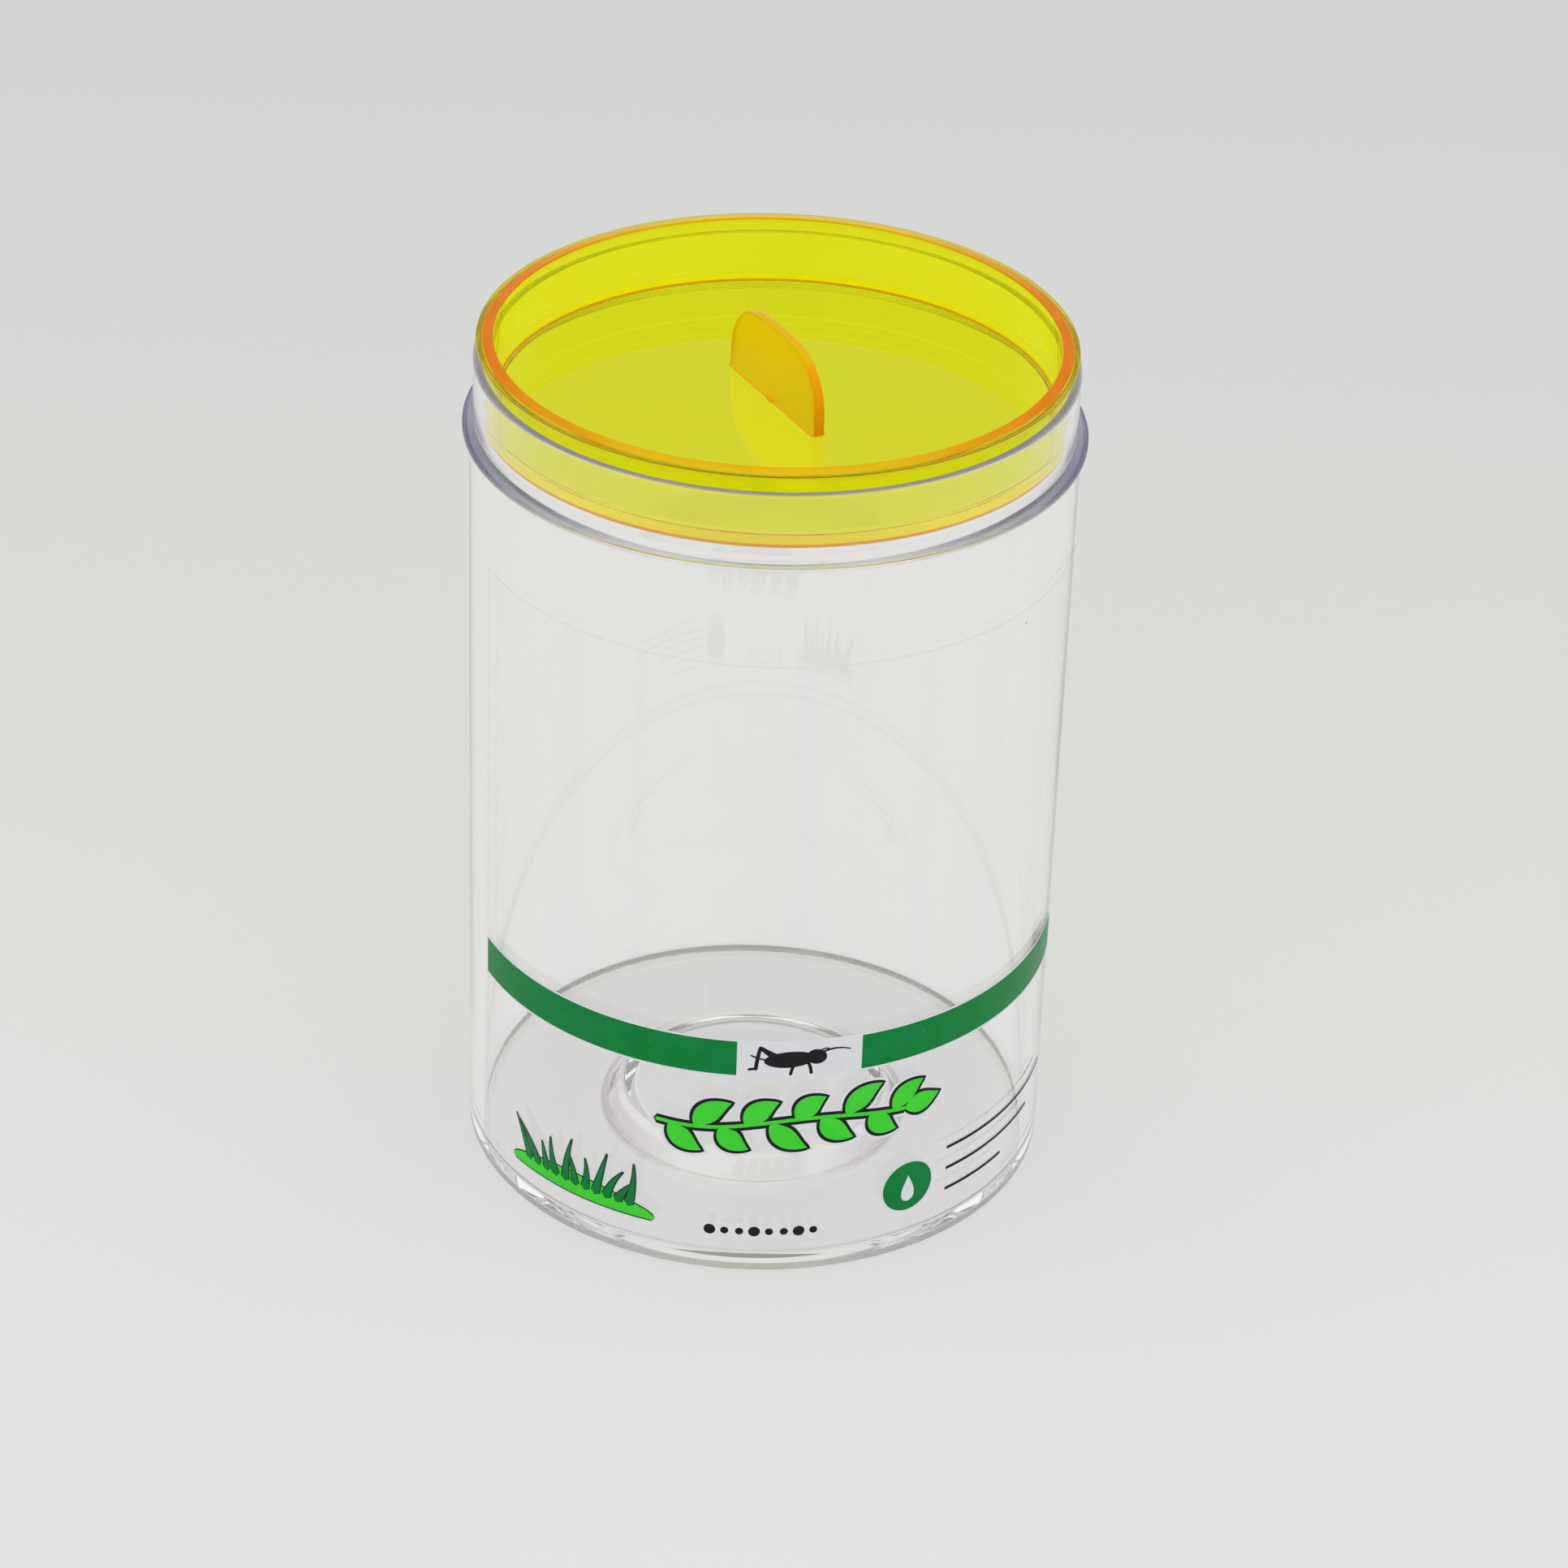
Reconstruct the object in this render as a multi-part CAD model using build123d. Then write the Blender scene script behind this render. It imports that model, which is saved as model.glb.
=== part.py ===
"""Cricket keeper box: a clear round jar with a push-in yellow lid and a printed film on its front.

Millimetres. +Z is up, the front is -Y, and the origin is the centre of the jar's underside.
The jar and the lid are turned forms, so each is one half-section that is revolved about Z.
"""
import os
from math import radians, tan

from build123d import *

# Jar: wall and floor
BODY_RADIUS = 39.9  # outside of the straight wall
WALL_HEIGHT = 107.1  # underside of the jar to the flange
CAVITY_DRAFT = 0.12  # degrees off upright, inside, narrower downwards
FLOOR_THICKNESS = 1.8
FLOOR_CORNER_RADIUS = 1.0  # inside, between floor and wall
BASE_EDGE_CHAMFER = 0.4  # outside, between underside and wall

# Jar: raised hub in the middle of the floor, hollow from below
HUB_TOP_RADIUS = 18.4
HUB_FLARE = 2.5  # how much wider the hub is at its foot
HUB_RISE = 2.7  # floor to the top of the hub
HUB_WALL = 1.8
HUB_CORNER_RADIUS = 0.8

# Jar: flange and neck
FLANGE_OVERHANG = 0.9  # beyond the wall
FLANGE_THICKNESS = 0.9
NECK_INSET = 0.5  # outside of the wall to the outside of the neck
NECK_WALL = 1.2  # at the rim
NECK_HEIGHT = 9.3  # top of the flange to the rim
RIM_EDGE_CHAMFER = 0.4
FLANGE_ROOT_CHAMFER = 0.9  # sweep from the top of the flange up to the neck

# Lid: plug, cup and lip
PLUG_CLEARANCE = 0.05  # radial, between the plug and the mouth at the rim
PLUG_DEPTH = 8.0  # rim to the underside of the lid
PLUG_TAPER = 1.5  # degrees off upright, narrower downwards
LIP_STAND_OFF = 1.85  # rim to the underside of the lip
LIP_THICKNESS = 0.75
LIP_OVERHANG = 0.85  # lip beyond the plug's own outside
LIP_EDGE_CHAMFER = 0.2
LID_WALL = 1.45
LID_FLOOR_THICKNESS = 1.5
CUP_CORNER_CHAMFER = 0.6  # inside, between the lid's wall and floor
PLUG_LEAD_IN = 0.4  # chamfer round the plug's lower edge

# Lid: upright finger tab across the middle of the floor
TAB_LENGTH = 23.5
TAB_HEIGHT = 10.4
TAB_THICKNESS = 1.6
TAB_DRAFT = 0.6  # degrees on each face
TAB_CROWN = 1.2  # rise of the top edge from its ends to its middle
TAB_SHOULDER_RADIUS = 7.5
TAB_FOOT_RADIUS = 0.3
TAB_TURN = -61.0  # degrees from +X
GATE_RADIUS = 1.3  # round witness left where the plastic entered the lid's mould
GATE_HEIGHT = 0.25

# Printed film
FILM_THICKNESS = 0.08
FILM_ADHESIVE = 0.04  # between the jar's wall and the film
FILM_BOTTOM = 3.0
FILM_TOP = 93.4
FILM_SPAN = 148.0  # degrees round the jar
FILM_CENTRE = 8.7  # degrees from the front towards +X

# Radii and heights that follow from the sizes above
FLANGE_RADIUS = BODY_RADIUS + FLANGE_OVERHANG
NECK_OUTER_RADIUS = BODY_RADIUS - NECK_INSET
MOUTH_RADIUS = NECK_OUTER_RADIUS - NECK_WALL
FLANGE_TOP = WALL_HEIGHT + FLANGE_THICKNESS
RIM_HEIGHT = FLANGE_TOP + NECK_HEIGHT
LID_UNDERSIDE = RIM_HEIGHT - PLUG_DEPTH
LID_FLOOR_TOP = LID_UNDERSIDE + LID_FLOOR_THICKNESS
LIP_UNDERSIDE = RIM_HEIGHT + LIP_STAND_OFF
LID_TOP = LIP_UNDERSIDE + LIP_THICKNESS


def cavity_radius(height):
    """Inside of the jar's drafted wall at a height above its underside."""
    return MOUTH_RADIUS - (RIM_HEIGHT - height) * tan(radians(CAVITY_DRAFT))


def plug_radius(height):
    """Outside of the lid's tapered plug at a height above the jar's underside."""
    return MOUTH_RADIUS - PLUG_CLEARANCE + (height - RIM_HEIGHT) * tan(radians(PLUG_TAPER))


def section(*points):
    """Closed half-section in the XZ plane from (radius, height) corners."""
    corners = [Vector(r, 0, z) for r, z in points]
    return make_face(Polyline(*corners, close=True).edges()).face()


def corners(face, points):
    """Vertices of a half-section that lie at the given (radius, height) points."""
    return [min(face.vertices(), key=lambda v: (v.X - r) ** 2 + (v.Z - z) ** 2) for r, z in points]


def round_corners(face, radius, *points):
    """Rounds the corners of a half-section at the given (radius, height) points."""
    return face.fillet_2d(radius, corners(face, points))


def break_corners(face, size, *points):
    """Chamfers the corners of a half-section at the given (radius, height) points."""
    return face.chamfer_2d(size, size, corners(face, points))


def make_jar():
    """One clear moulding: floor with its hub, wall, flange and neck."""
    hub_top = FLOOR_THICKNESS + HUB_RISE
    recess_top = (HUB_TOP_RADIUS - HUB_WALL, hub_top - HUB_WALL)
    foot_radius = HUB_TOP_RADIUS + HUB_FLARE
    recess_foot = (foot_radius - HUB_WALL, 0)
    base_edge = (BODY_RADIUS, 0)
    rim_outer = (NECK_OUTER_RADIUS, RIM_HEIGHT)
    rim_inner = (MOUTH_RADIUS, RIM_HEIGHT)
    floor_corner = (cavity_radius(FLOOR_THICKNESS), FLOOR_THICKNESS)
    hub_foot = (foot_radius, FLOOR_THICKNESS)
    hub_edge = (HUB_TOP_RADIUS, hub_top)
    face = section(
        (0, recess_top[1]),
        recess_top,
        recess_foot,
        base_edge,
        (BODY_RADIUS, WALL_HEIGHT),
        (FLANGE_RADIUS, WALL_HEIGHT),
        (FLANGE_RADIUS, FLANGE_TOP),
        (NECK_OUTER_RADIUS, FLANGE_TOP),
        rim_outer,
        rim_inner,
        floor_corner,
        hub_foot,
        hub_edge,
        (0, hub_top),
    )
    face = break_corners(face, BASE_EDGE_CHAMFER, base_edge)
    face = break_corners(face, RIM_EDGE_CHAMFER, rim_outer, rim_inner)
    face = break_corners(face, FLANGE_ROOT_CHAMFER, (NECK_OUTER_RADIUS, FLANGE_TOP))
    face = round_corners(face, FLOOR_CORNER_RADIUS, floor_corner)
    face = round_corners(face, HUB_CORNER_RADIUS, hub_foot, hub_edge, recess_top)
    return revolve(face, Axis.Z)


def make_film():
    """Thin printed film wrapped round the front of the jar's wall."""
    inner = BODY_RADIUS + FILM_ADHESIVE
    outer = inner + FILM_THICKNESS
    face = section((inner, FILM_BOTTOM), (outer, FILM_BOTTOM), (outer, FILM_TOP), (inner, FILM_TOP))
    film = revolve(face, Axis.Z, revolution_arc=FILM_SPAN)
    return film.rotate(Axis.Z, -90 + FILM_CENTRE - FILM_SPAN / 2)


def make_tab():
    """Upright D-shaped plate with drafted faces, standing on the lid's floor along X."""
    half = TAB_LENGTH / 2
    side_height = TAB_HEIGHT - TAB_CROWN
    outline = Polyline((-half, 0, side_height), (-half, 0, 0), (half, 0, 0), (half, 0, side_height))
    crown = ThreePointArc((half, 0, side_height), (0, 0, TAB_HEIGHT), (-half, 0, side_height))
    face = make_face(outline.edges() + crown.edges()).face()
    face = round_corners(face, TAB_SHOULDER_RADIUS, (-half, side_height), (half, side_height))
    plate = extrude(face, amount=TAB_THICKNESS, both=True)
    draft = 2 * TAB_HEIGHT * tan(radians(TAB_DRAFT))
    foot = Rectangle(TAB_LENGTH, TAB_THICKNESS)
    head = Pos(0, 0, TAB_HEIGHT) * Rectangle(TAB_LENGTH, TAB_THICKNESS - draft)
    return plate & loft([foot, head])


def make_lid():
    """One yellow moulding: tapered plug with a lip, dished inside, with a finger tab on its floor."""
    plug_edge = (plug_radius(LID_UNDERSIDE), LID_UNDERSIDE)
    lip_radius = plug_radius(LIP_UNDERSIDE) + LIP_OVERHANG
    lip_lower = (lip_radius, LIP_UNDERSIDE)
    lip_upper = (lip_radius, LID_TOP)
    cup_edge = (plug_radius(LID_TOP) - LID_WALL, LID_TOP)
    cup_corner = (plug_radius(LID_FLOOR_TOP) - LID_WALL, LID_FLOOR_TOP)
    face = section(
        (0, LID_UNDERSIDE),
        plug_edge,
        (plug_radius(LIP_UNDERSIDE), LIP_UNDERSIDE),
        lip_lower,
        lip_upper,
        cup_edge,
        cup_corner,
        (0, LID_FLOOR_TOP),
    )
    face = break_corners(face, PLUG_LEAD_IN, plug_edge)
    face = break_corners(face, LIP_EDGE_CHAMFER, lip_lower, lip_upper, cup_edge)
    face = break_corners(face, CUP_CORNER_CHAMFER, cup_corner)
    cup = revolve(face, Axis.Z)

    tab = Pos(0, 0, LID_FLOOR_TOP) * Rot(0, 0, TAB_TURN) * make_tab()
    lid = cup + tab
    foot_edges = [
        edge
        for edge in lid.edges().filter_by_position(Axis.Z, LID_FLOOR_TOP - 0.01, LID_FLOOR_TOP + 0.01)
        if edge.geom_type == GeomType.LINE
    ]
    lid = fillet(foot_edges, TAB_FOOT_RADIUS)
    gate = Pos(0, 0, LID_FLOOR_TOP) * Cylinder(
        GATE_RADIUS, GATE_HEIGHT, align=(Align.CENTER, Align.CENTER, Align.MIN)
    )
    return lid + gate


os.makedirs("parts", exist_ok=True)
for name, shape in (("jar", make_jar()), ("label_film", make_film()), ("lid", make_lid())):
    export_step(shape, f"parts/{name}.step")
    box = shape.bounding_box()
    print(f"{name}: {shape.volume:.0f} mm3, top at {box.max.Z:.1f} mm")
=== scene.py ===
"""Cricket keeper box: a clear jar with a printed film and a transparent yellow push-in lid.

Metres, in the model's own frame: +Z up, the printed front towards -Y, and the origin at the
centre of the jar's underside. Sizes are given in millimetres and scaled where a mesh is made.
"""
import math

import bmesh
import bpy
from mathutils import Matrix, Vector


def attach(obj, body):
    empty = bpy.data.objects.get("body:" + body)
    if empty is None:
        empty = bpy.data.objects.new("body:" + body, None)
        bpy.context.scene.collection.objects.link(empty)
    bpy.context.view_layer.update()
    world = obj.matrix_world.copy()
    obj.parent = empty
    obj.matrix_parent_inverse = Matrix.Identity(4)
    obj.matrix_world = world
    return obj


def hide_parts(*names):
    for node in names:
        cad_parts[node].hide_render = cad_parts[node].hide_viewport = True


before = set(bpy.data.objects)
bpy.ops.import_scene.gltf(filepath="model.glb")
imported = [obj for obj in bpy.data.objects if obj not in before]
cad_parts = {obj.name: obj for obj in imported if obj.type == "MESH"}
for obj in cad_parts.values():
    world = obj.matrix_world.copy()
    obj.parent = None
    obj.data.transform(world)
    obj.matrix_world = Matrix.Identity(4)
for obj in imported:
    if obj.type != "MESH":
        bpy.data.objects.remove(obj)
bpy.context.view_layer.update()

MM = 0.001
SMOOTH_ANGLE = 28  # degrees; sharper edges than this stay sharp
PRINT_SMOOTH_ANGLE = 40

# Camera: the photograph's viewpoint
FOCAL_LENGTH = 113.94  # mm on a 36 mm sensor
CAMERA_ELEVATION = math.radians(30.88)
CAMERA_ROLL = math.radians(2.10)
CAMERA_DISTANCE = 674.9 * MM
CAMERA_TARGET = Vector((2.816, 0, 52.59)) * MM

# Studio
FLOOR_RADIUS = 4.0
FLOOR_COLOUR = (0.80, 0.80, 0.795)
FLOOR_GLOW = (
    (0.825, 0.810, 0.820, 1),  # front
    (0.725, 0.722, 0.685, 1),  # middle
    (0.635, 0.650, 0.648, 1),  # back
)
THROUGH_LIFT = 0.10  # the floor looks a little brighter through the clear plastic
TENT_LEVEL = 0.95  # white light tent all round
OPENING_EDGE = (math.radians(8), math.radians(20))  # the tent's dimmer opening in front
OPENING_LEVEL = (0.50, 0.50, 0.54, 1)
BACKDROP_EDGE = (math.radians(14), math.radians(28))  # the dimmer end of the tent behind
BACKDROP_LEVEL = (0.30, 0.30, 0.31, 1)

# Plastics
POLYSTYRENE_IOR = 1.59
# IOR of the lid's parts with painted amber glow
GLOW_IOR = 1.35
# painted shade: purple-blue for the sides of the flange's root
FLANGE_PAINTED_SHADE = (0.14, 0.14, 0.34, 1)
# painted shade: dark grey for the rim's top
RIM_PAINTED_SHADE = (0.22, 0.20, 0.21, 1)
# painted shade: grey for the sides of the hub's foot
HUB_FOOT_PAINTED_SHADE = (0.66, 0.61, 0.62, 1)
YELLOW_SHINE = (0.5, 0.5, 0.06, 1)
BOUNCES = 128  # light that is caught in a clear wall takes this many turns to get out
TRANSPARENT_BOUNCES = 40

# Sizes of the mouldings, as in the CAD source
SEGMENTS = 480
HOLD = 0.12  # from a rounding to the point that holds the flat beside it
HOLD_FROM = 1.3  # shortest flat that gets such points
BODY_RADIUS = 39.9
NECK_OUTER_RADIUS = 39.4
MOUTH_RADIUS = 38.2
FLANGE_RADIUS = 40.8
WALL_HEIGHT = 107.1
FLANGE_TOP = 108.0
RIM_HEIGHT = 117.3
FLOOR_THICKNESS = 1.8
HUB_TOP_RADIUS = 18.4
HUB_FOOT_RADIUS = 20.9
HUB_TOP = 4.5
RECESS_TOP_RADIUS = 16.6  # the hub's hollow underside
RECESS_FOOT_RADIUS = 19.1
RECESS_TOP = 2.7
WORN_AND_SHADED_TOP = 1.3  # the scuffed band round the lower edge, with painted shade
CAVITY_DRAFT = math.radians(0.12)
LID_UNDERSIDE = 109.3
LID_FLOOR_TOP = 110.8
LIP_UNDERSIDE = 119.15
LID_TOP = 119.9
LID_WALL = 1.45
LIP_OVERHANG = 0.85
BEAD_TOP = 109.95  # the plug's lower edge glows amber up to here
PLATE_TOP = 111.2  # the plug's outside glows up to here, where the lid's floor meets it
RING_RADIUS = 38.2  # where the painted amber glow on top of the lid's wall ends and its lip starts
RING_SLOPE = 0.35  # the wall's top falls outwards by this much
PLUG_CLEARANCE = 0.05
PLUG_TAPER = math.radians(1.5)
TAB_LENGTH = 23.5
TAB_HEIGHT = 10.4
TAB_THICKNESS = 1.6
TAB_DRAFT = math.radians(0.6)
TAB_CROWN = 1.2
TAB_SHOULDER_RADIUS = 7.5
TAB_FOOT_RADIUS = 0.3
TAB_TURN = math.radians(-61.0)
TAB_EDGE_ROUND = 0.3
TAB_SINK = 0.6  # the tab's foot reaches this far into the lid's floor
GATE_RADIUS = 1.3
GATE_HEIGHT = 0.25
FILM_INNER = 39.94
FILM_OUTER = 40.02
FILM_BOTTOM = 3.0
FILM_TOP = 93.4
FILM_START = math.radians(-65.3)
FILM_END = math.radians(82.7)

# Print: layers of ink on the film
INK = 0.008  # thickness of one layer
BAND_BOTTOM = 31.75
BAND_TOP = 37.05
GAP_START = -2.05  # the band's white gap, along the film from the front
GAP_END = 14.7
LEAF_WIDTH = 3.1
DOT_PLACE = (22.6, 10.6)
DOT_RADIUS = 3.85
RULE_THICKNESS = 0.5
RULES = ((14.2, 55.5), (10.8, 49.0), (7.4, 41.0))  # height and right end of each ruled line
SMALL_DOTS_HEIGHT = 6.6


def cavity_radius(height):
    return MOUTH_RADIUS - (RIM_HEIGHT - height) * math.tan(CAVITY_DRAFT)


def plug_radius(height):
    return MOUTH_RADIUS - PLUG_CLEARANCE + (height - RIM_HEIGHT) * math.tan(PLUG_TAPER)


# ---------------------------------------------------------------- meshes


def finish_mesh(bm, name, body, angle=SMOOTH_ANGLE):
    """Object from a closed bmesh, smooth except at edges sharper than the angle."""
    bmesh.ops.recalc_face_normals(bm, faces=bm.faces)
    mesh = bpy.data.meshes.new(name)
    bm.to_mesh(mesh)
    bm.free()
    mesh.polygons.foreach_set("use_smooth", [True] * len(mesh.polygons))
    mesh.set_sharp_from_angle(angle=math.radians(angle))
    piece = bpy.data.objects.new(name, mesh)
    bpy.context.scene.collection.objects.link(piece)
    if body:
        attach(piece, body)
    return piece


def rounded(corners, steps=6):
    """Open outline of (radius, height) points from corners (radius, height[, rounding]).

    A point beside each rounding keeps the smooth shading of the flat next to it flat.
    """
    outline = []
    for i, corner in enumerate(corners):
        here = Vector(corner[:2])
        radius = corner[2] if len(corner) > 2 else 0
        if not radius:
            outline.append(here)
            continue
        before = Vector(corners[i - 1][:2]) - here
        after = Vector(corners[i + 1][:2]) - here
        half = before.angle(after) / 2
        reach = radius / math.tan(half)
        flats = [side.length - reach > HOLD_FROM for side in (before, after)]
        before.normalize()
        after.normalize()
        centre = here + (before + after).normalized() * (radius / math.sin(half))
        start = here + before * reach - centre
        end = here + after * reach - centre
        first = math.atan2(start.y, start.x)
        turn = (math.atan2(end.y, end.x) - first + math.pi) % math.tau - math.pi
        if flats[0]:
            outline.append(here + before * (reach + HOLD))
        for k in range(steps + 1):
            a = first + turn * k / steps
            outline.append(centre + Vector((math.cos(a), math.sin(a))) * radius)
        if flats[1]:
            outline.append(here + after * (reach + HOLD))
    return outline


def turned(corners, steps=6):
    """Closed bmesh of a turned form: the outline starts and ends on the axis."""
    bm = bmesh.new()
    rings = []
    for radius, height in rounded(corners, steps):
        if radius < 1e-6:
            rings.append([bm.verts.new((0, 0, height * MM))])
            continue
        ring = []
        for i in range(SEGMENTS):
            a = math.tau * i / SEGMENTS
            place = (radius * MM * math.cos(a), radius * MM * math.sin(a), height * MM)
            ring.append(bm.verts.new(place))
        rings.append(ring)
    for low, high in zip(rings, rings[1:]):
        for i in range(SEGMENTS):
            j = (i + 1) % SEGMENTS
            if len(low) == 1:
                bm.faces.new((low[0], high[j], high[i]))
            elif len(high) == 1:
                bm.faces.new((low[i], low[j], high[0]))
            else:
                bm.faces.new((low[i], low[j], high[j], high[i]))
    return bm


def jar_shell():
    """The jar's one moulding, with the small roundings of its edges."""
    corners = [
        (0, RECESS_TOP),
        (RECESS_TOP_RADIUS, RECESS_TOP, 0.8),
        (RECESS_FOOT_RADIUS, 0, 0.15),
        (BODY_RADIUS, 0, 0.5),
        (BODY_RADIUS, WORN_AND_SHADED_TOP),
        (BODY_RADIUS, WALL_HEIGHT, 0.2),
        (FLANGE_RADIUS, WALL_HEIGHT + 0.1, 0.15),
        (FLANGE_RADIUS, FLANGE_TOP - 0.35, 0.15),
        (NECK_OUTER_RADIUS, FLANGE_TOP - 0.05, 1.1),
        (NECK_OUTER_RADIUS, RIM_HEIGHT, 0.5),
        (MOUTH_RADIUS, RIM_HEIGHT, 0.5),
        (cavity_radius(FLOOR_THICKNESS), FLOOR_THICKNESS, 1.0),
        (HUB_FOOT_RADIUS, FLOOR_THICKNESS, 0.8),
        (HUB_TOP_RADIUS, HUB_TOP, 0.8),
        (0, HUB_TOP),
    ]
    return finish_mesh(turned(corners), "jar_shell", "jar")


def tab_outline():
    """Right half of the tab's D-shaped outline, from its foot up to the middle of its crown."""
    half = TAB_LENGTH / 2
    crown_radius = (half * half + TAB_CROWN * TAB_CROWN) / (2 * TAB_CROWN)
    reach = crown_radius - TAB_SHOULDER_RADIUS
    centre_x = half - TAB_SHOULDER_RADIUS
    centre_z = TAB_HEIGHT - crown_radius + math.sqrt(reach * reach - centre_x * centre_x)
    top_angle = math.atan2(centre_z - (TAB_HEIGHT - crown_radius), centre_x)
    points = [(half, z) for z in (-TAB_SINK, 0.0, 0.6, 1.2, 1.8)]
    for k in range(25):
        a = top_angle * k / 24
        points.append((
            centre_x + TAB_SHOULDER_RADIUS * math.cos(a),
            centre_z + TAB_SHOULDER_RADIUS * math.sin(a),
        ))
    for k in range(1, 13):
        a = top_angle + (math.pi / 2 - top_angle) * k / 12
        points.append((
            crown_radius * math.cos(a),
            TAB_HEIGHT - crown_radius + crown_radius * math.sin(a),
        ))
    return points


def tab_mesh():
    """Upright finger tab with drafted faces and rounded edges, its foot sunk in the lid's floor."""
    right = tab_outline()
    outline = [Vector(p) for p in right] + [Vector((-x, z)) for x, z in reversed(right[:-1])]
    normals = []
    for i, point in enumerate(outline):
        a = outline[max(i - 1, 0)]
        b = outline[min(i + 1, len(outline) - 1)]
        along = (b - a).normalized()
        normals.append(Vector((-along.y, along.x)))
    bm = bmesh.new()
    rows = []
    for k in range(-6, 7):
        bend = math.radians(15 * abs(k)) if k else 0
        row = []
        for point, normal in zip(outline, normals):
            inner = point + normal * TAB_EDGE_ROUND * (1 - math.cos(bend))
            inner.y = max(inner.y, -TAB_SINK)
            half = TAB_THICKNESS / 2 - max(inner.y, 0) * math.tan(TAB_DRAFT)
            reach = half - TAB_EDGE_ROUND + TAB_EDGE_ROUND * math.sin(bend)
            depth = math.copysign(reach, k) if k else 0
            row.append(bm.verts.new((inner.x * MM, depth * MM, inner.y * MM)))
        rows.append(row)
    for a, b in zip(rows, rows[1:]):
        for i in range(len(a) - 1):
            bm.faces.new((a[i], a[i + 1], b[i + 1], b[i]))
    for row in (rows[0], rows[-1]):
        bm.faces.new(row)
    bm.faces.new([row[0] for row in rows] + [row[-1] for row in reversed(rows)])
    return bm


def foot_fillet(side):
    """Small concave fillet between one face of the tab and the lid's floor."""
    inner = TAB_THICKNESS / 2 - 0.25
    face = TAB_THICKNESS / 2
    section = [(inner, -0.3), (face + TAB_FOOT_RADIUS, -0.3)]
    for k in range(7):
        a = math.radians(-90 - 15 * k)
        section.append((
            face + TAB_FOOT_RADIUS + TAB_FOOT_RADIUS * math.cos(a),
            TAB_FOOT_RADIUS + TAB_FOOT_RADIUS * math.sin(a) + 0.004,
        ))
    section.append((inner, TAB_FOOT_RADIUS))
    bm = bmesh.new()
    half = TAB_LENGTH / 2 - 0.2
    ends = [[bm.verts.new((x * MM, side * y * MM, z * MM)) for y, z in section] for x in (-half, half)]
    count = len(section)
    for i in range(count):
        j = (i + 1) % count
        bm.faces.new((ends[0][i], ends[0][j], ends[1][j], ends[1][i]))
    bm.faces.new(ends[0])
    bm.faces.new(ends[1])
    return bm


def lid_shell():
    """The lid's one moulding: cup, lip, finger tab and gate mark joined into one closed mesh."""
    lip = plug_radius(LIP_UNDERSIDE) + LIP_OVERHANG
    corners = [
        (0, LID_UNDERSIDE),
        (plug_radius(LID_UNDERSIDE), LID_UNDERSIDE, 0.45),
        (plug_radius(BEAD_TOP), BEAD_TOP),
        (plug_radius(PLATE_TOP), PLATE_TOP),
        (plug_radius(LIP_UNDERSIDE), LIP_UNDERSIDE, 0.3),
        (lip, LIP_UNDERSIDE, 0.15),
        (lip, LID_TOP - 0.38, 0.15),
        (RING_RADIUS, LID_TOP - RING_SLOPE),
        (plug_radius(LID_TOP) - LID_WALL, LID_TOP, 0.15),
        (plug_radius(LID_FLOOR_TOP) - LID_WALL, LID_FLOOR_TOP, 0.7),
        (0, LID_FLOOR_TOP),
    ]
    lid = finish_mesh(turned(corners), "lid_shell", "lid")
    gate = [
        (0, LID_FLOOR_TOP - 0.4),
        (GATE_RADIUS, LID_FLOOR_TOP - 0.4),
        (GATE_RADIUS, LID_FLOOR_TOP + GATE_HEIGHT, 0.12),
        (0, LID_FLOOR_TOP + GATE_HEIGHT),
    ]
    place = Matrix.Translation((0, 0, LID_FLOOR_TOP * MM)) @ Matrix.Rotation(TAB_TURN, 4, "Z")
    parts = [
        (tab_mesh(), place),
        (foot_fillet(1), place),
        (foot_fillet(-1), place),
        (turned(gate), Matrix()),
    ]
    for i, (bm, matrix) in enumerate(parts):
        bm.transform(matrix)
        tool = finish_mesh(bm, f"lid_tool_{i}", None)
        union = lid.modifiers.new("union", "BOOLEAN")
        union.operation = "UNION"
        union.solver = "EXACT"
        union.object = tool
        graph = bpy.context.evaluated_depsgraph_get()
        joined = bpy.data.meshes.new_from_object(lid.evaluated_get(graph))
        lid.modifiers.clear()
        lid.data = joined
        bpy.data.objects.remove(tool)
    joined.name = "lid_shell"
    joined.polygons.foreach_set("use_smooth", [True] * len(joined.polygons))
    joined.set_sharp_from_angle(angle=math.radians(SMOOTH_ANGLE))
    return lid


# ---------------------------------------------------------------- print on the film


def patch(name, loops, layer, inner=None, outer=None):
    """Thin closed sheets wrapped on the film: loops of (along the film, height) corners."""
    inner = FILM_OUTER + 0.01 + layer * 0.012 if inner is None else inner
    outer = inner + INK if outer is None else outer
    bm = bmesh.new()
    for loop in loops:
        flat = bmesh.new()
        flat.faces.new([flat.verts.new((u, 0, z)) for u, z in loop])
        left = min(u for u, z in loop)
        right = max(u for u, z in loop)
        cut = math.ceil(left)
        while cut < right:
            bmesh.ops.bisect_plane(
                flat, geom=flat.verts[:] + flat.edges[:] + flat.faces[:], dist=1e-5,
                plane_co=(cut, 0, 0), plane_no=(1, 0, 0),
            )
            cut += 1
        made = bmesh.ops.extrude_face_region(flat, geom=flat.faces[:], use_keep_orig=True)
        raised = {v for v in made["geom"] if isinstance(v, bmesh.types.BMVert)}
        for v in flat.verts:
            radius = outer if v in raised else inner
            a = v.co.x / FILM_OUTER
            v.co = Vector((radius * math.sin(a), -radius * math.cos(a), v.co.z)) * MM
        mesh = bpy.data.meshes.new("patch")
        flat.to_mesh(mesh)
        flat.free()
        bm.from_mesh(mesh)
        bpy.data.meshes.remove(mesh)
    return finish_mesh(bm, name, "jar", angle=PRINT_SMOOTH_ANGLE)


def rectangle(left, bottom, right, top):
    return [(left, bottom), (right, bottom), (right, top), (left, top)]


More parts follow.
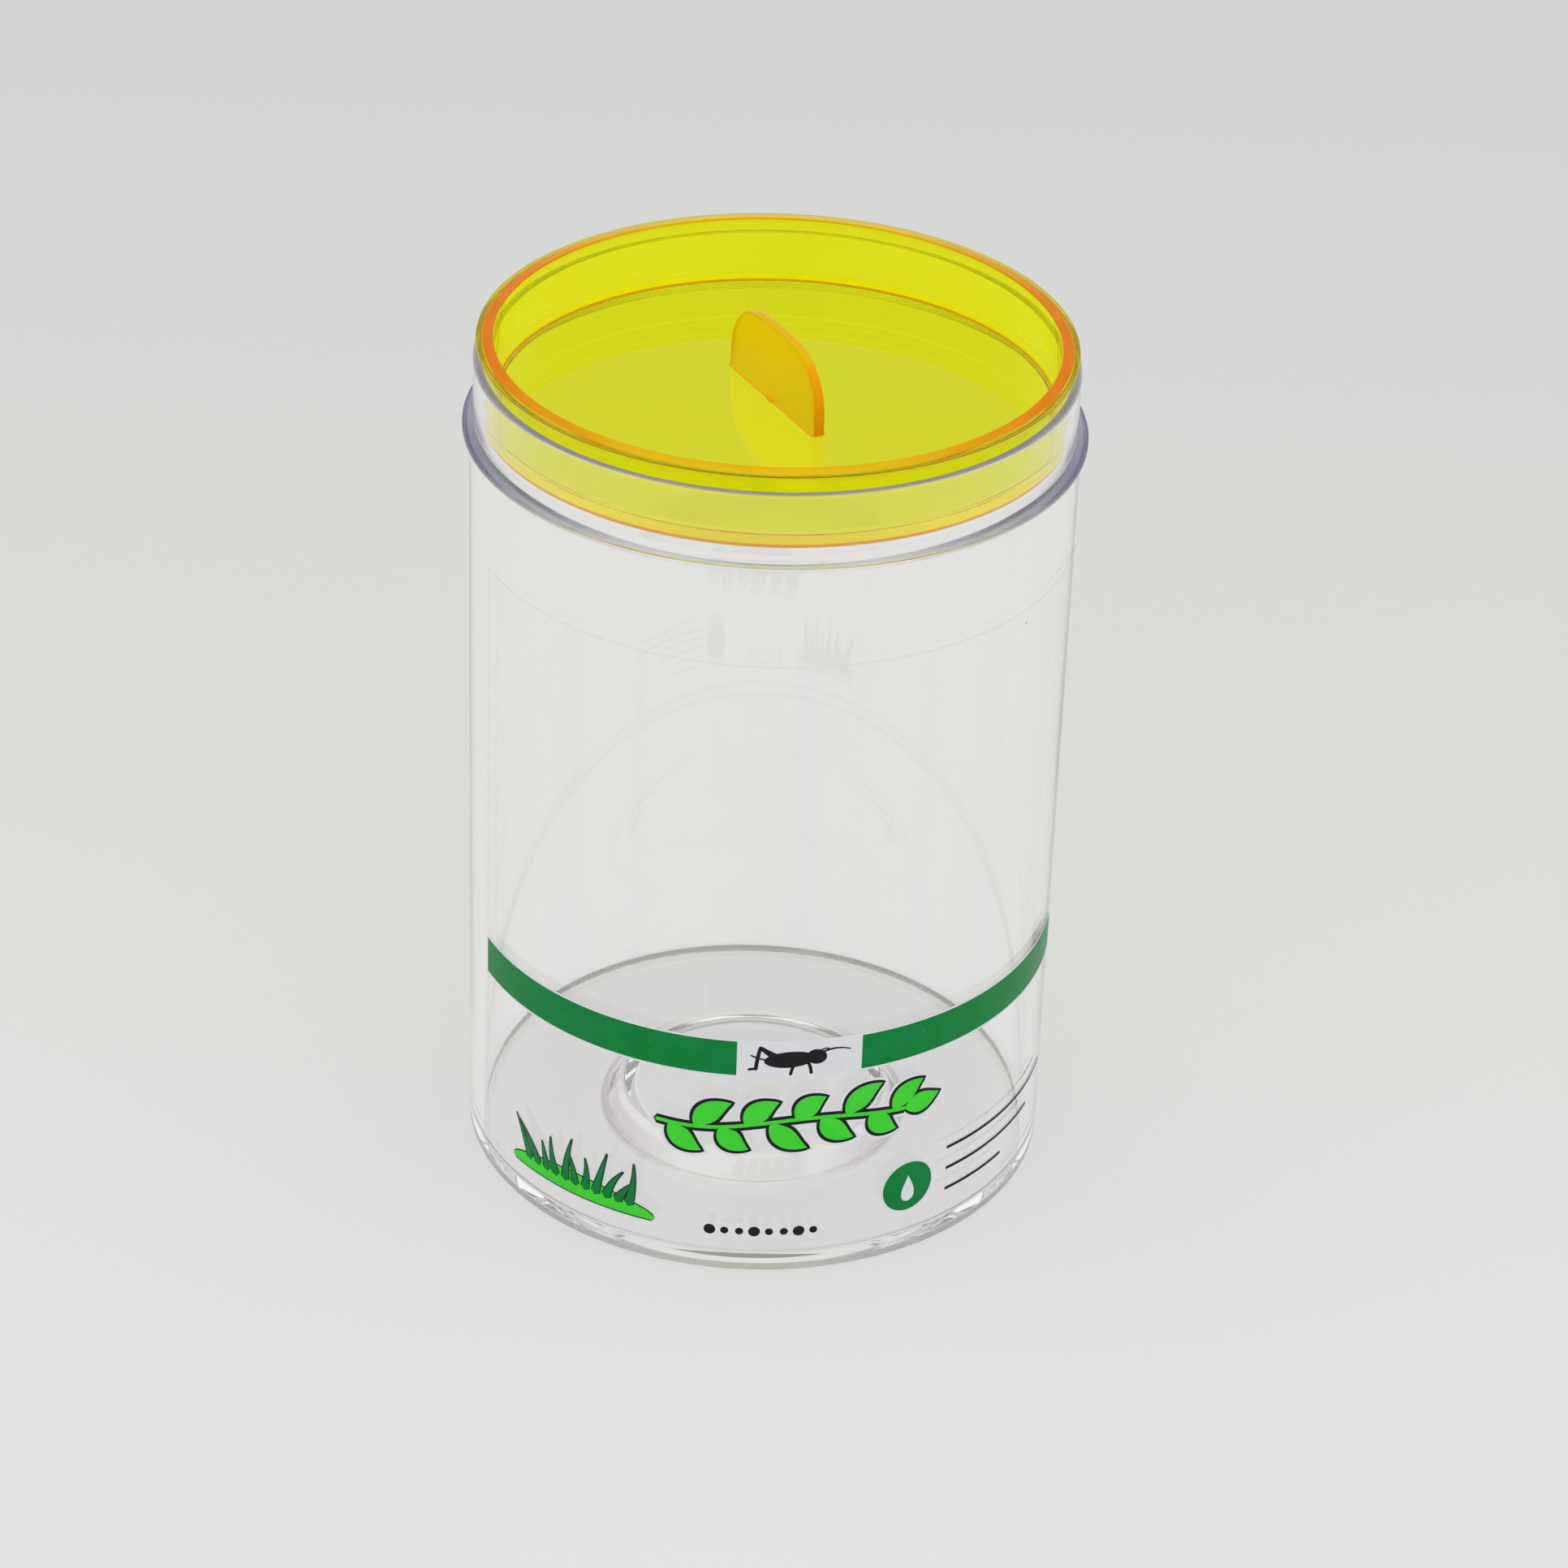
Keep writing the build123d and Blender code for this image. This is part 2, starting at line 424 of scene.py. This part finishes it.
def disc(u, z, radius, points=40, stretch=1.0, turn=0.0):
    """Ellipse with its long axis turned from the film's horizontal."""
    loop = []
    for i in range(points):
        a = math.tau * i / points
        x = radius * stretch * math.cos(a)
        y = radius * math.sin(a)
        loop.append((
            u + x * math.cos(turn) - y * math.sin(turn),
            z + x * math.sin(turn) + y * math.cos(turn),
        ))
    return loop


def ribbon(line, widths, grow=0.0):
    """Outline of a line with a half-width at each point, all of it grown by a margin."""
    points = [Vector(p) for p in line]
    left = []
    right = []
    for i, point in enumerate(points):
        along = (points[min(i + 1, len(points) - 1)] - points[max(i - 1, 0)]).normalized()
        side = Vector((-along.y, along.x)) * (widths[i] + grow)
        left.append(point + side)
        right.append(point - side)
    for i, direction in ((0, points[0] - points[1]), (-1, points[-1] - points[-2])):
        reach = direction.normalized() * max(grow, widths[i])
        left.insert(0, points[0] + reach) if i == 0 else left.append(points[-1] + reach)
    return [tuple(p) for p in left] + [tuple(p) for p in reversed(right)]


def curve(start, angle, length, bend, steps=12):
    """Points of a line that leaves start at an angle and turns steadily by bend."""
    point = Vector(start)
    points = [tuple(point)]
    for i in range(steps):
        a = angle + bend * (i + 0.5) / steps
        point = point + Vector((math.cos(a), math.sin(a))) * (length / steps)
        points.append(tuple(point))
    return points


def leaf(start, angle, length, width, bend, grow=0.0):
    line = curve(start, angle, length, bend)
    widths = [width / 2 * math.sin(math.pi * (i / 12) ** 0.85) for i in range(13)]
    return ribbon(line, widths, grow)


def sprig(grow):
    """Leafy stem that runs along the film below the band."""
    stem = []
    for i in range(41):
        u = -12.6 + 34.0 * i / 40
        stem.append((u, 23.9 + 0.75 * math.sin(u / 5.2) + 0.02 * u))
    loops = [ribbon(stem, [0.28] * len(stem), grow)]
    for i in range(10):
        at = stem[2 + 4 * i]
        up = 1 if i % 2 else -1
        size = 6.0 + 0.8 * math.sin(2.1 * i)
        loops.append(leaf(at, up * math.radians(62), size, LEAF_WIDTH, -up * math.radians(44), grow))
    loops.append(leaf(stem[-1], math.radians(2), 5.6, LEAF_WIDTH, math.radians(14), grow))
    return loops


def grass(grow):
    """Tuft of curved blades that grow from a low mound."""
    loops = []
    for i in range(11):
        u = -33.6 + 1.72 * i
        lean = math.radians(90 + 24 * math.cos(math.pi * i / 10) + 9 * math.sin(2.7 * i))
        tall = 5.4 + 1.5 * math.sin(1.9 * i + 0.6)
        line = curve((u, 8.3), lean, tall, math.radians(26 * math.sin(1.3 * i + 0.4)))
        loops.append(ribbon(line, [0.62 * (1 - k / 12.5) for k in range(13)], grow))
    return loops


def mound(grow):
    top = [(-37.0 + 24.0 * i / 24, 7.2 + 2.5 * math.sin(math.pi * i / 24) ** 0.7) for i in range(25)]
    line = [(u, (z + 6.4) / 2) for u, z in top]
    return [ribbon(line, [(z - 6.4) / 2 for u, z in top], grow)]


def limb(start, degrees, length, bend, widths):
    """Part of the insect's outline that leaves start at an angle and turns by bend, both in degrees."""
    return ribbon(curve(start, math.radians(degrees), length, math.radians(bend)), widths)


def insect():
    """Plain cricket seen from the side, in one ink."""
    return [
        disc(4.9, 34.3, 1.25, stretch=2.7, turn=math.radians(4)),
        disc(8.5, 34.6, 1.15, stretch=1.2, turn=math.radians(-10)),
        limb((4.2, 34.0), 148, 3.9, -6, [0.68 - 0.035 * k for k in range(13)]),
        limb((1.0, 36.1), -104, 3.3, 10, [0.26] * 13),
        limb((0.35, 32.9), -170, 0.8, 0, [0.2] * 13),
        limb((5.6, 33.6), -118, 1.7, 20, [0.22] * 13),
        limb((7.4, 33.7), -64, 1.7, -24, [0.22] * 13),
        limb((9.0, 35.1), 28, 4.2, -52, [0.18 - 0.008 * k for k in range(13)]),
        limb((8.8, 35.2), 62, 1.5, -80, [0.11] * 13),
        limb((1.9, 34.3), 172, 2.2, -20, [0.12] * 13),
    ]


def drop():
    """Water drop: a point above a round foot."""
    loop = []
    for i in range(36):
        a = math.tau * i / 36
        narrow = math.sin(a / 2) ** 1.5
        loop.append((DOT_PLACE[0] + 1.45 * math.sin(a) * narrow, 10.3 + 2.1 * math.cos(a)))
    return loop


def make_print(inks):
    left = FILM_START * FILM_OUTER + 0.3
    right = FILM_END * FILM_OUTER - 0.3
    rules = [rectangle(29.0, z, end, z + RULE_THICKNESS) for z, end in RULES]
    dots = [
        disc(u, SMALL_DOTS_HEIGHT, 0.55 if k % 3 else 0.8, 24)
        for k, u in enumerate(range(-5, 11, 2))
    ]
    prints = [
        ("band_ground", [rectangle(left, BAND_BOTTOM - 0.3, right, BAND_TOP + 0.3)], 0, "white"),
        ("band_left", [rectangle(left, BAND_BOTTOM, GAP_START, BAND_TOP)], 1, "green"),
        ("band_right", [rectangle(GAP_END, BAND_BOTTOM, right, BAND_TOP)], 1, "green"),
        ("insect", insect(), 1, "black"),
        ("sprig_ground", sprig(0.95), 0, "white"),
        ("sprig_line", sprig(0.5), 1, "black"),
        ("sprig_fill", sprig(0.0), 2, "leaf"),
        ("grass_ground", mound(0.55) + grass(0.42), 0, "white"),
        ("mound_line", mound(0.2), 1, "black"),
        ("mound_fill", mound(0.0), 2, "leaf"),
        ("grass_line", grass(0.16), 3, "black"),
        ("grass_fill", grass(0.0), 4, "green"),
        ("dot_ground", [disc(*DOT_PLACE, DOT_RADIUS + 0.3, 64)], 0, "white"),
        ("dot_fill", [disc(*DOT_PLACE, DOT_RADIUS, 64)], 1, "green"),
        ("dot_drop", [drop()], 2, "white"),
        ("rules", rules, 0, "black"),
        ("dots", dots, 0, "black"),
    ]
    for name, loops, layer, ink in prints:
        piece = patch("print_" + name, loops, layer)
        piece.data.materials.append(inks[ink])


# ---------------------------------------------------------------- materials


class Nodes:
    """Short way to add and join the nodes of one material."""

    def __init__(self, name):
        self.material = bpy.data.materials.new(name)
        self.material.use_nodes = True
        self.tree = self.material.node_tree
        self.shader = self.tree.nodes["Principled BSDF"]
        self.place = self.tree.nodes.new("ShaderNodeTexCoord").outputs["Object"]

    def join(self, value, socket):
        if isinstance(value, bpy.types.NodeSocket):
            self.tree.links.new(value, socket)
        else:
            socket.default_value = value

    def add(self, kind, values, output=0, **settings):
        node = self.tree.nodes.new("ShaderNode" + kind)
        for key, value in settings.items():
            setattr(node, key, value)
        for key, value in values.items():
            self.join(value, node.inputs[key])
        return node.outputs[output]

    def math(self, operation, a, b=0.0, c=0.0):
        return self.add("Math", {0: a, 1: b, 2: c}, operation=operation)

    def stretch(self, scale):
        return self.add("Mapping", {"Vector": self.place, "Scale": scale})

    def noise(self, vector, scale, detail=2.0):
        return self.add("TexNoise", {"Vector": vector, "Scale": scale, "Detail": detail})

    def ramp(self, value, low, high):
        """0 below low, 1 above high, linear between."""
        return self.add(
            "MapRange", {"Value": value, "From Min": low, "From Max": high, "To Min": 0.0, "To Max": 1.0}
        )

    def mix(self, share, a, b):
        node = self.tree.nodes.new("ShaderNodeMix")
        node.data_type = "RGBA"
        for key, value in ((0, share), (6, a), (7, b)):
            self.join(value, node.inputs[key])
        return node.outputs[2]

    def height(self):
        return self.add("SeparateXYZ", {0: self.place}, output=2)

    def radius(self):
        split = self.tree.nodes.new("ShaderNodeSeparateXYZ")
        self.tree.links.new(self.place, split.inputs[0])
        x2 = self.math("MULTIPLY", split.outputs[0], split.outputs[0])
        total = self.math("MULTIPLY_ADD", split.outputs[1], split.outputs[1], x2)
        return self.math("SQRT", total)

    def bump(self, height, strength, distance):
        normal = self.add("Bump", {"Strength": strength, "Distance": distance, "Height": height})
        self.tree.links.new(normal, self.shader.inputs["Normal"])


def glass(nodes, ior=POLYSTYRENE_IOR):
    nodes.shader.inputs["IOR"].default_value = ior
    nodes.shader.inputs["Transmission Weight"].default_value = 1.0


def clear_plastic():
    """Polished clear polystyrene, with painted shade: purple at the sides of the flange's root, grey on
    the rim, most at the front, and grey at the sides of the hub's foot.

    It has faint flow lines and scuffs, and is duller at the rim, the brim and the floor's corner.
    """
    n = Nodes("clear_polystyrene")
    glass(n)
    tint = n.noise(n.stretch((1, 1, 0.15)), 60.0)
    colour = n.mix(n.ramp(tint, 0.35, 0.75), (1, 1, 1, 1), (0.985, 0.985, 0.99, 1))
    sideways = n.math("ABSOLUTE", n.add("SeparateXYZ", {0: n.place}, output=0))
    aside = n.ramp(sideways, 14 * MM, 38 * MM)
    height = n.height()
    radius = n.radius()
    root = n.math(
        "MULTIPLY",
        n.ramp(height, WALL_HEIGHT * MM, (WALL_HEIGHT + 0.2) * MM),
        n.ramp(height, (FLANGE_TOP + 1.2) * MM, (FLANGE_TOP + 0.7) * MM),
    )
    outside = n.ramp(radius, (NECK_OUTER_RADIUS + 0.02) * MM, (NECK_OUTER_RADIUS + 0.25) * MM)
    root = n.math("MULTIPLY", root, outside)
    # painted shade: the flange's root is darkened purple towards the sides
    colour = n.mix(n.math("MULTIPLY", root, aside), colour, FLANGE_PAINTED_SHADE)
    rim = n.ramp(height, (RIM_HEIGHT - 0.3) * MM, (RIM_HEIGHT - 0.1) * MM)
    near = n.ramp(n.add("SeparateXYZ", {0: n.place}, output=1), 15 * MM, -10 * MM)
    # painted shade: the rim's top is darkened, most towards the front
    shaded_rim_colour = n.mix(rim, colour, RIM_PAINTED_SHADE)
    colour = n.mix(n.math("MULTIPLY_ADD", near, 0.75, 0.25), colour, shaded_rim_colour)
    # painted shade: a grey ring at the hub's foot, only at the sides
    foot = n.math("MULTIPLY", n.ramp(radius, 18.6 * MM, 19.2 * MM), n.ramp(radius, 21.6 * MM, 21.2 * MM))
    foot = n.math("MULTIPLY", foot, n.ramp(height, 4.0 * MM, 3.4 * MM))
    foot = n.math("MULTIPLY", foot, n.ramp(sideways, 9 * MM, 17 * MM))
    colour = n.mix(foot, colour, HUB_FOOT_PAINTED_SHADE)
    n.join(colour, n.shader.inputs["Base Color"])
    scuffs = n.noise(n.stretch((1, 1, 3)), 420.0, 4.0)
    rough = n.math("MULTIPLY", n.ramp(scuffs, 0.66, 0.78), 0.12)
    brim = n.ramp(radius, (FLANGE_RADIUS - 0.45) * MM, (FLANGE_RADIUS - 0.2) * MM)
    inner = n.ramp(radius, 36.4 * MM, 37.0 * MM)
    corner = n.math("MULTIPLY", inner, n.ramp(radius, 38.7 * MM, 38.4 * MM))
    corner = n.math("MULTIPLY", corner, n.ramp(height, 3.3 * MM, 2.8 * MM))
    dull = n.math("MAXIMUM", n.math("MAXIMUM", rim, brim), corner)
    n.join(n.math("MULTIPLY_ADD", dull, 0.25, rough), n.shader.inputs["Roughness"])
    wall = n.math("MULTIPLY", n.ramp(height, 8 * MM, 14 * MM), n.ramp(height, 105 * MM, 100 * MM))
    waves = n.noise(n.stretch((1, 1, 0.12)), 140.0, 1.0)
    n.bump(n.math("MULTIPLY", waves, wall), 0.05, 0.1 * MM)
    return n.material


def worn_and_shaded_plastic():
    """The clear plastic's scuffed lower edge, where the jar has stood and slid about. The paler scuffs
    are wear; the band's grey, darker towards the sides, is painted shade.
    """
    n = Nodes("clear_polystyrene_worn_and_shaded")
    glass(n)
    n.shader.inputs["Transmission Weight"].default_value = 0.4
    sideways = n.math("ABSOLUTE", n.add("SeparateXYZ", {0: n.place}, output=0))
    # painted shade: the band's grey, darker towards the sides
    tone = n.mix(n.ramp(sideways, 10 * MM, 36 * MM), (0.60, 0.59, 0.595, 1), (0.47, 0.45, 0.53, 1))
    wear = n.ramp(n.noise(n.stretch((1, 1, 0.4)), 380.0, 4.0), 0.55, 0.75)
    n.join(n.mix(wear, tone, (0.68, 0.67, 0.71, 1)), n.shader.inputs["Base Color"])
    n.join(n.math("MULTIPLY_ADD", wear, 0.25, 0.2), n.shader.inputs["Roughness"])
    n.bump(n.noise(n.stretch((1, 1, 1)), 900.0, 2.0), 0.15, 0.05 * MM)
    return n.material


def yellow_plastic():
    """Transparent yellow polystyrene, polished, with faint flow waves and fine scratches, and painted
    shade that makes its lip a darker amber.
    """
    n = Nodes("yellow_polystyrene")
    glass(n)
    height = n.height()
    radius = n.radius()
    in_lip = n.ramp(height, RIM_HEIGHT * MM, (RIM_HEIGHT + 0.6) * MM)
    past_ring = n.ramp(radius, (RING_RADIUS - 0.05) * MM, (RING_RADIUS + 0.05) * MM)
    lip = n.math("MULTIPLY", in_lip, past_ring)
    cloud = n.noise(n.stretch((1, 1, 1)), 55.0)
    colour = n.mix(n.ramp(cloud, 0.3, 0.8), (0.975, 1.0, 0.020, 1), (0.985, 0.985, 0.015, 1))
    # painted shade: the lip is painted a darker amber
    n.join(n.mix(lip, colour, (0.88, 0.74, 0.02, 1)), n.shader.inputs["Base Color"])
    scratches = n.noise(n.stretch((1, 14, 1)), 260.0, 3.0)
    rough = n.math("MULTIPLY_ADD", n.ramp(scratches, 0.68, 0.8), 0.15, 0.04)
    n.join(rough, n.shader.inputs["Roughness"])
    n.bump(n.noise(n.stretch((1, 1, 0.3)), 90.0, 1.0), 0.05, 0.1 * MM)
    n.shader.inputs["Specular Tint"].default_value = YELLOW_SHINE
    return n.material


def glowing_plastic(name, clear, rough, glow, near, aside):
    """The same plastic with painted light: a diffuse amber share and, for most, a small emission stand
    in for the light that it gathers, painted deeper amber towards the sides.

    clear is its share of glass, glow a small emission for the light that it gathers.
    """
    n = Nodes(name)
    glass(n, GLOW_IOR)
    n.shader.inputs["Transmission Weight"].default_value = clear
    n.shader.inputs["Emission Color"].default_value = near
    n.shader.inputs["Emission Strength"].default_value = glow
    n.shader.inputs["Specular Tint"].default_value = YELLOW_SHINE
    sideways = n.math("ABSOLUTE", n.add("SeparateXYZ", {0: n.place}, output=0))
    cloud = n.math("MULTIPLY", n.noise(n.stretch((1, 1, 1)), 130.0, 3.0), 10 * MM)
    # painted glow: deeper amber towards the sides
    share = n.ramp(n.math("ADD", sideways, cloud), 20 * MM, 40 * MM)
    n.join(n.mix(share, near, aside), n.shader.inputs["Base Color"])
    scratches = n.noise(n.stretch((1, 9, 1)), 320.0, 3.0)
    uneven = n.math("MULTIPLY_ADD", n.ramp(scratches, 0.6, 0.8), 0.08, rough)
    n.join(uneven, n.shader.inputs["Roughness"])
    n.bump(n.noise(n.stretch((1, 1, 1)), 500.0, 2.0), 0.1, 0.05 * MM)
    return n.material


def dress_jar(jar):
    """Clear plastic all over, worn and painted with shade round the edge that it stands on."""
    jar.data.materials.append(clear_plastic())
    jar.data.materials.append(worn_and_shaded_plastic())
    for face in jar.data.polygons:
        radius = math.hypot(face.center.x, face.center.y) / MM
        if face.center.z < WORN_AND_SHADED_TOP * MM and radius > BODY_RADIUS - 0.4:
            face.material_index = 1


def dress_lid(lid):
    """Yellow plastic all over, with a painted amber glow on the wall's top, the plug's lower edge and
    outside, and the tab.

    Each glow is a material: name, share of glass, roughness, emission, colours near and aside.
    """
    mesh = lid.data
    mesh.materials.clear()
    mesh.materials.append(yellow_plastic())
    # painted glow: each material's diffuse amber share and emission stand in for light that the plastic
    # gathers
    glows = (
        ("yellow_polystyrene_edge", 0.25, 0.18, 0.0, (1.0, 0.60, 0.0, 1), (1.0, 0.25, 0.0, 1)),
        ("yellow_polystyrene_tab", 0.50, 0.15, 0.08, (1.0, 0.78, 0.005, 1), (1.0, 0.78, 0.005, 1)),
        ("yellow_polystyrene_tab_edge", 0.15, 0.18, 0.08, (1.0, 0.40, 0.005, 1), (1.0, 0.40, 0.005, 1)),
        ("yellow_polystyrene_plate", 0.60, 0.35, 0.25, (1.0, 0.93, 0.0, 1), (1.0, 0.93, 0.0, 1)),
        ("yellow_polystyrene_bead", 0.35, 0.30, 0.20, (1.0, 0.40, 0.0, 1), (1.0, 0.40, 0.0, 1)),
    )
    for glow in glows:
        mesh.materials.append(glowing_plastic(*glow))
    broad = Vector((-math.sin(TAB_TURN), math.cos(TAB_TURN), 0))
    for face in mesh.polygons:
        height = face.center.z / MM
        radius = math.hypot(face.center.x, face.center.y) / MM
        if height > LID_TOP - RING_SLOPE and radius < RING_RADIUS:
            face.material_index = 1
        elif height < BEAD_TOP and radius > plug_radius(LID_UNDERSIDE) - 0.44:
            face.material_index = 5
        elif height < PLATE_TOP and radius > plug_radius(LID_UNDERSIDE) - 0.44:
            face.material_index = 4
        elif height > LID_FLOOR_TOP + 0.02 and radius < 13.5:
            face.material_index = 2 if abs(face.normal.dot(broad)) > 0.8 else 3


def film_plastic():
    """Clear self-adhesive film: a trace of haze, faint upright streaks and paler cut edges."""
    n = Nodes("clear_film")
    n.shader.inputs["Roughness"].default_value = 0.25
    split = n.tree.nodes.new("ShaderNodeSeparateXYZ")
    n.tree.links.new(n.place, split.inputs[0])
    away = n.math("MULTIPLY", split.outputs[1], -1.0)
    azimuth = n.math("ARCTAN2", split.outputs[0], away)
    edge = 0.3 / FILM_OUTER
    start = n.ramp(azimuth, FILM_START + edge, FILM_START + edge * 0.6)
    end = n.ramp(azimuth, FILM_END - edge, FILM_END - edge * 0.6)
    top = n.ramp(split.outputs[2], (FILM_TOP - 0.3) * MM, (FILM_TOP - 0.18) * MM)
    bottom = n.ramp(split.outputs[2], (FILM_BOTTOM + 0.3) * MM, (FILM_BOTTOM + 0.18) * MM)
    edges = n.math("MAXIMUM", n.math("MAXIMUM", start, end), n.math("MAXIMUM", top, bottom))
    streaks = n.ramp(n.noise(n.stretch((1, 1, 0.02)), 110.0, 2.0), 0.52, 0.8)
    specks = n.tree.nodes.new("ShaderNodeTexVoronoi")
    specks.inputs["Scale"].default_value = 240.0
    n.tree.links.new(n.place, specks.inputs["Vector"])
    chosen = n.ramp(n.add("SeparateXYZ", {0: specks.outputs["Color"]}), 0.90, 0.92)
    dark = n.math("MULTIPLY", chosen, n.ramp(specks.outputs["Distance"], 0.035, 0.02))
    sheen = n.ramp(n.noise(n.stretch((1, 1, 0.05)), 170.0, 1.0), 0.35, 0.65)
    pale = n.mix(sheen, (0.98, 0.86, 0.94, 1), (0.85, 0.95, 1.0, 1))
    n.join(n.mix(dark, pale, (0.12, 0.11, 0.1, 1)), n.shader.inputs["Base Color"])
    haze = n.math("MULTIPLY_ADD", streaks, 0.14, 0.012)
    haze = n.math("MULTIPLY_ADD", edges, 0.22, haze)
    n.join(n.math("MAXIMUM", haze, n.math("MULTIPLY", dark, 0.8)), n.shader.inputs["Alpha"])
    return n.material


def ink(name, colour, shade):
    """Gloss ink with a slightly uneven coat and the odd pinhole."""
    n = Nodes("ink_" + name)
    coat = n.noise(n.stretch((1, 1, 1)), 300.0, 3.0)
    fine = n.noise(n.stretch((1, 1, 1)), 2600.0, 2.0)
    colour = n.mix(n.ramp(coat, 0.35, 0.7), (*colour, 1), (*shade, 1))
    n.join(n.mix(n.ramp(fine, 0.75, 0.8), colour, (0.5, 0.55, 0.5, 1)), n.shader.inputs["Base Color"])
    n.join(n.math("MULTIPLY_ADD", coat, 0.2, 0.22), n.shader.inputs["Roughness"])
    n.shader.inputs["Specular IOR Level"].default_value = 0.12
    n.bump(fine, 0.1, 0.01 * MM)
    return n.material


# ---------------------------------------------------------------- studio


def make_camera():
    """Camera that looks down on the jar's printed front."""
    back = Vector((0, -math.cos(CAMERA_ELEVATION), math.sin(CAMERA_ELEVATION)))
    up = Vector((0, math.sin(CAMERA_ELEVATION), math.cos(CAMERA_ELEVATION)))
    right = Vector((1, 0, 0))
    rolled_right = right * math.cos(CAMERA_ROLL) + up * math.sin(CAMERA_ROLL)
    rolled_up = up * math.cos(CAMERA_ROLL) - right * math.sin(CAMERA_ROLL)
    data = bpy.data.cameras.new("camera")
    data.lens = FOCAL_LENGTH
    data.sensor_width = 36
    data.clip_start = 0.01
    camera = bpy.data.objects.new("camera", data)
    turn = Matrix((rolled_right, rolled_up, back)).transposed().to_4x4()
    camera.matrix_world = Matrix.Translation(CAMERA_TARGET + back * CAMERA_DISTANCE) @ turn
    bpy.context.scene.collection.objects.link(camera)
    bpy.context.scene.camera = camera


def make_floor():
    """Pale sheet whose share of glow keeps its tone even for the rays that look at it, with a painted
    shadow where the glow is dimmer under the jar.
    """
    bpy.ops.mesh.primitive_circle_add(
        vertices=128, radius=FLOOR_RADIUS, fill_type="NGON", location=(0, 0, -0.1 * MM)
    )
    floor = bpy.context.object
    floor.name = "floor"
    n = Nodes("floor")
    n.shader.inputs["Base Color"].default_value = (*FLOOR_COLOUR, 1)
    n.shader.inputs["Roughness"].default_value = 0.9
    path = n.tree.nodes.new("ShaderNodeLightPath")
    seen = n.math("MAXIMUM", path.outputs["Is Camera Ray"], path.outputs["Is Glossy Ray"])
    seen = n.math("MAXIMUM", seen, path.outputs["Is Transmission Ray"])
    below = n.ramp(n.radius(), (BODY_RADIUS + 1) * MM, (BODY_RADIUS - 3) * MM)
    share = n.math("MULTIPLY", seen, n.math("MULTIPLY_ADD", below, 0.25, 0.75))
    depth = n.add("SeparateXYZ", {0: n.place}, output=1)
    near = n.mix(n.ramp(depth, -0.10, 0.085), FLOOR_GLOW[0], FLOOR_GLOW[1])
    colour = n.mix(n.ramp(depth, 0.085, 0.41), near, FLOOR_GLOW[2])
    lift = n.math("MULTIPLY_ADD", path.outputs["Is Transmission Ray"], THROUGH_LIFT, 1.0)
    # painted shadow: the glow is 14% dimmer under the jar
    level = n.math("MULTIPLY", lift, n.math("MULTIPLY_ADD", below, -0.14, 1.0))
    glow = n.add("Emission", {"Color": colour, "Strength": level})
    mixed = n.add("MixShader", {0: share, 1: n.shader.outputs[0], 2: glow})
    n.tree.links.new(mixed, n.tree.nodes["Material Output"].inputs["Surface"])
    floor.data.materials.append(n.material)


def make_tent():
    """White light tent with a dimmer opening where the camera looks in and a dimmer end behind."""
    world = bpy.data.worlds.new("tent")
    bpy.context.scene.world = world
    world.use_nodes = True
    sky = world.node_tree
    background = sky.nodes["Background"]
    direction = sky.nodes.new("ShaderNodeTexCoord")
    level = (1, 1, 1, 1)
    openings = (
        (CAMERA_ELEVATION, -1, OPENING_EDGE, OPENING_LEVEL),
        (CAMERA_ELEVATION, 1, BACKDROP_EDGE, BACKDROP_LEVEL),
    )
    for elevation, side, edge, dark in openings:
        facing = sky.nodes.new("ShaderNodeVectorMath")
        facing.operation = "DOT_PRODUCT"
        facing.inputs[1].default_value = (0, side * math.cos(elevation), math.sin(elevation))
        ramp = sky.nodes.new("ShaderNodeMapRange")
        ramp.inputs["From Min"].default_value = math.cos(edge[1])
        ramp.inputs["From Max"].default_value = math.cos(edge[0])
        mix = sky.nodes.new("ShaderNodeMix")
        mix.data_type = "RGBA"
        sky.links.new(direction.outputs["Generated"], facing.inputs[0])
        sky.links.new(facing.outputs["Value"], ramp.inputs["Value"])
        sky.links.new(ramp.outputs["Result"], mix.inputs[0])
        if isinstance(level, tuple):
            mix.inputs[6].default_value = level
        else:
            sky.links.new(level, mix.inputs[6])
        mix.inputs[7].default_value = dark
        level = mix.outputs[2]
    sky.links.new(level, background.inputs["Color"])
    background.inputs["Strength"].default_value = TENT_LEVEL
    bpy.context.scene.view_settings.view_transform = "Standard"
    cycles = bpy.context.scene.cycles
    cycles.max_bounces = BOUNCES
    cycles.transmission_bounces = BOUNCES
    cycles.glossy_bounces = BOUNCES
    cycles.transparent_max_bounces = TRANSPARENT_BOUNCES


make_camera()
make_floor()
make_tent()

jar = jar_shell()
dress_jar(jar)
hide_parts("jar")

lid = lid_shell()
dress_lid(lid)
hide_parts("lid")

film_loop = rectangle(FILM_START * FILM_OUTER, FILM_BOTTOM, FILM_END * FILM_OUTER, FILM_TOP)
film = patch("film_sheet", [film_loop], 0, inner=FILM_INNER, outer=FILM_OUTER)
film.data.materials.append(film_plastic())
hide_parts("label_film")

make_print({
    "white": ink("white", (0.84, 0.85, 0.88), (0.81, 0.82, 0.86)),
    "green": ink("green", (0.001, 0.215, 0.040), (0.002, 0.245, 0.050)),
    "leaf": ink("leaf", (0.055, 0.720, 0.035), (0.070, 0.760, 0.045)),
    "black": ink("black", (0.010, 0.010, 0.012), (0.016, 0.016, 0.018)),
})
